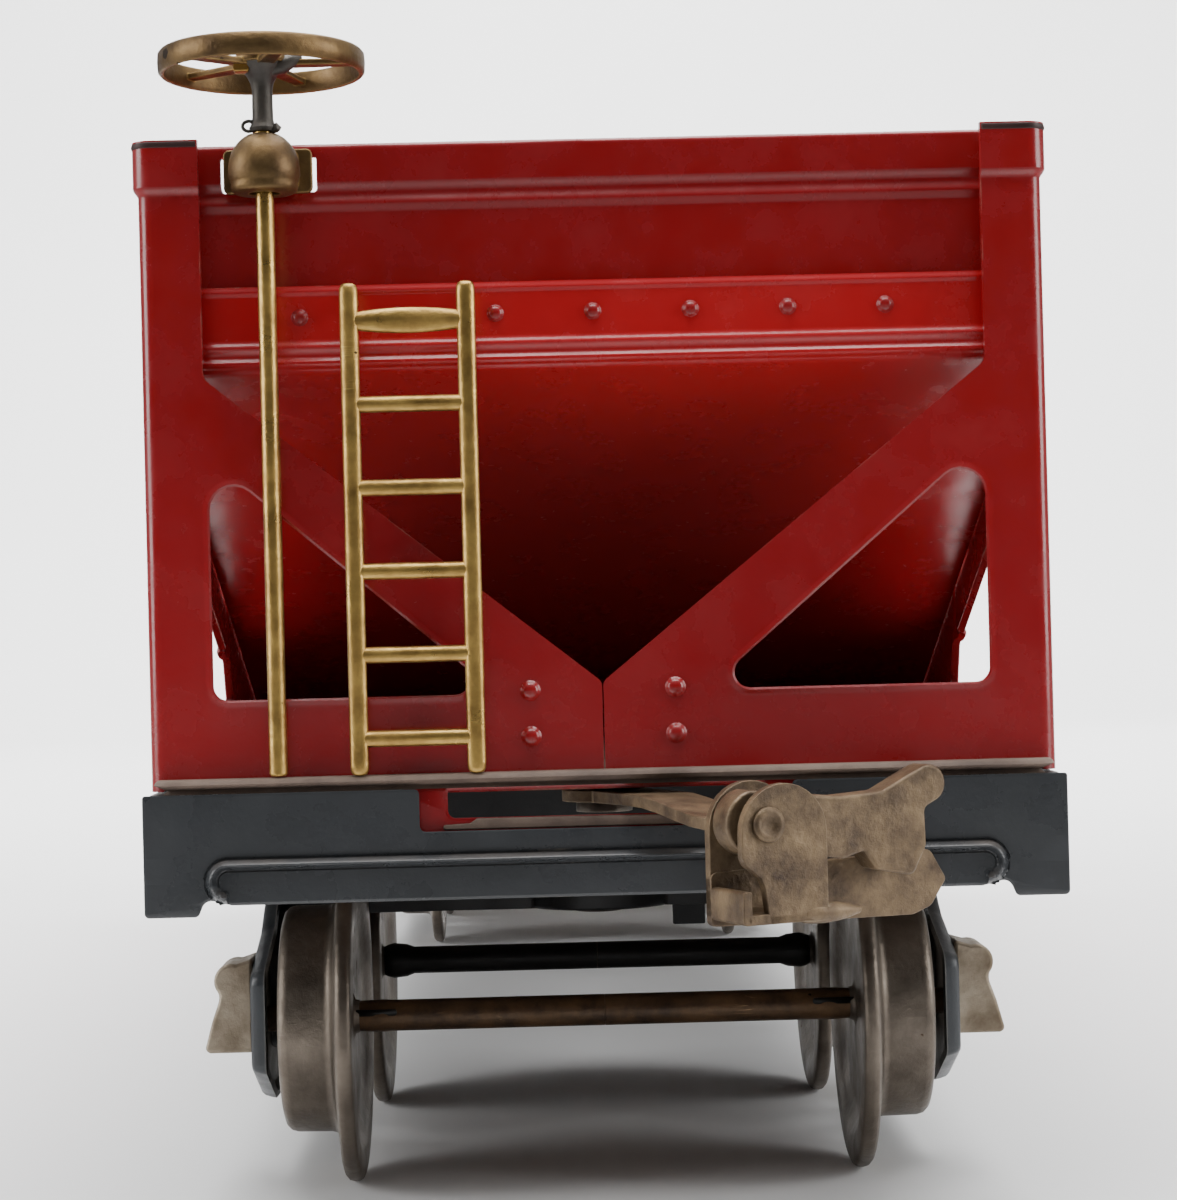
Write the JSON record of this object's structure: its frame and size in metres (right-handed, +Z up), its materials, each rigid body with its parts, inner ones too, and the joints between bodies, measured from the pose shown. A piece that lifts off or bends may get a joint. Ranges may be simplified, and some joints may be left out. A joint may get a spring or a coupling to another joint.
{
  "type": "toy railway hopper wagon",
  "caption": "Pressed-sheet toy railway hopper wagon with open top, V-braced ends, ladders, hand brake, latch couplers and two four-wheel swivelling trucks.",
  "frame": {"origin": "on the floor under the middle of the wagon, where the wheel flanges rest", "axes": "+X across the wagon, +Y along it away from the hand brake, +Z up"},
  "size_m": [0.076, 0.3248, 0.0997],
  "materials": {
    "red_enamel": "gloss enamel, worn and pitted with rust at the edges",
    "black_enamel": "satin black enamel, dusty and worn at the edges",
    "truck_enamel": "satin black enamel",
    "nickel": "dulled nickel plate",
    "brass": "satin brass, tarnished in the corners",
    "aged_brass": "dark aged brass",
    "wheel_steel": "worn steel with a brown bloom",
    "axle_steel": "brown oiled steel",
    "rivet_steel": "dull steel",
    "tarnished_nickel": "nickel plate mottled with brown tarnish"
  },
  "bodies": {
    "wagon": {"frame_deck": "black_enamel", "end_beam_near": "black_enamel", "end_beam_far": "black_enamel", "slot_plate_near": "red_enamel", "slot_plate_far": "red_enamel", "body_side_left": "red_enamel", "body_side_right": "red_enamel", "end_wall_near": "red_enamel", "end_wall_far": "red_enamel", "slope_sheet_near": "red_enamel", "slope_sheet_far": "red_enamel", "hopper_ridge": "red_enamel", "chute_near": "black_enamel", "chute_far": "black_enamel", "rivets_near": "red_enamel", "rivets_far": "red_enamel", "ladder_near": "brass", "ladder_far": "brass", "brake_bracket": "aged_brass", "body_bolster_near": "black_enamel", "body_bolster_far": "black_enamel", "kingpin_near": "rivet_steel", "kingpin_far": "rivet_steel", "coupler_rivet_near": "rivet_steel", "coupler_rivet_far": "rivet_steel"},
    "truck_near": {"side_frame_left_near": "truck_enamel", "side_frame_right_near": "truck_enamel", "truck_bolster_near": "black_enamel", "journal_boxes_near": "nickel"},
    "truck_far": {"side_frame_left_far": "truck_enamel", "side_frame_right_far": "truck_enamel", "truck_bolster_far": "black_enamel", "journal_boxes_far": "nickel"},
    "wheelset_1": {"wheels_1": "wheel_steel", "axle_1": "axle_steel", "axle_sleeve_1": "axle_steel"},
    "wheelset_2": {"wheels_2": "wheel_steel", "axle_2": "axle_steel", "axle_sleeve_2": "axle_steel"},
    "wheelset_3": {"wheels_3": "wheel_steel", "axle_3": "axle_steel", "axle_sleeve_3": "axle_steel"},
    "wheelset_4": {"wheels_4": "wheel_steel", "axle_4": "axle_steel", "axle_sleeve_4": "axle_steel"},
    "coupler_near": {"coupler_head_near": "tarnished_nickel", "coupler_shank_near": "tarnished_nickel", "latch_pin_near": "tarnished_nickel"},
    "latch_near": {"coupler_latch_near": "tarnished_nickel"},
    "coupler_far": {"coupler_head_far": "tarnished_nickel", "coupler_shank_far": "tarnished_nickel", "latch_pin_far": "tarnished_nickel"},
    "latch_far": {"coupler_latch_far": "tarnished_nickel"},
    "hand_brake": {"brake_staff": "brass", "brake_wheel": "aged_brass", "brake_nut": "brass"},
    "door_near": {"chute_door_near": "black_enamel", "door_rod_near": "rivet_steel"},
    "door_far": {"chute_door_far": "black_enamel", "door_rod_far": "rivet_steel"}
  },
  "joints": [
    {"name": "truck_near_swivel", "type": "hinge", "parent": "wagon", "child": "truck_near", "pos_m": [0, -0.093, 0.03], "axis": [0, 0, 1], "range_deg": [-8, 8]},
    {"name": "truck_far_swivel", "type": "hinge", "parent": "wagon", "child": "truck_far", "pos_m": [0, 0.093, 0.03], "axis": [0, 0, 1], "range_deg": [-8, 8]},
    {"name": "wheelset_1_roll", "type": "hinge", "parent": "truck_near", "child": "wheelset_1", "pos_m": [0, -0.1135, 0.0151], "axis": [1, 0, 0], "continuous": true},
    {"name": "wheelset_2_roll", "type": "hinge", "parent": "truck_near", "child": "wheelset_2", "pos_m": [0, -0.0725, 0.0151], "axis": [1, 0, 0], "continuous": true},
    {"name": "wheelset_3_roll", "type": "hinge", "parent": "truck_far", "child": "wheelset_3", "pos_m": [0, 0.0725, 0.0151], "axis": [1, 0, 0], "continuous": true},
    {"name": "wheelset_4_roll", "type": "hinge", "parent": "truck_far", "child": "wheelset_4", "pos_m": [0, 0.1135, 0.0151], "axis": [1, 0, 0], "continuous": true},
    {"name": "coupler_near_swing", "type": "hinge", "parent": "wagon", "child": "coupler_near", "pos_m": [0, -0.137, 0.036], "axis": [0, 0, 1], "range_deg": [-60, 2]},
    {"name": "latch_near_lift", "type": "hinge", "parent": "coupler_near", "child": "latch_near", "pos_m": [0.01069, -0.1585, 0.0357], "axis": [0.4226, -0.9063, 0], "range_deg": [0, 28]},
    {"name": "coupler_far_swing", "type": "hinge", "parent": "wagon", "child": "coupler_far", "pos_m": [0, 0.137, 0.036], "axis": [0, 0, 1], "range_deg": [-60, 2]},
    {"name": "latch_far_lift", "type": "hinge", "parent": "coupler_far", "child": "latch_far", "pos_m": [-0.01069, 0.1585, 0.0357], "axis": [-0.4226, 0.9063, 0], "range_deg": [0, 28]},
    {"name": "hand_brake_turn", "type": "hinge", "parent": "wagon", "child": "hand_brake", "pos_m": [-0.0268, -0.14435, 0.098], "axis": [0, 0, 1], "continuous": true},
    {"name": "door_near_drop", "type": "hinge", "parent": "wagon", "child": "door_near", "pos_m": [0, -0.0192, 0.0208], "axis": [1, 0, 0], "range_deg": [0, 60]},
    {"name": "door_far_drop", "type": "hinge", "parent": "wagon", "child": "door_far", "pos_m": [0, 0.0192, 0.0208], "axis": [-1, 0, 0], "range_deg": [0, 60]}
  ]
}
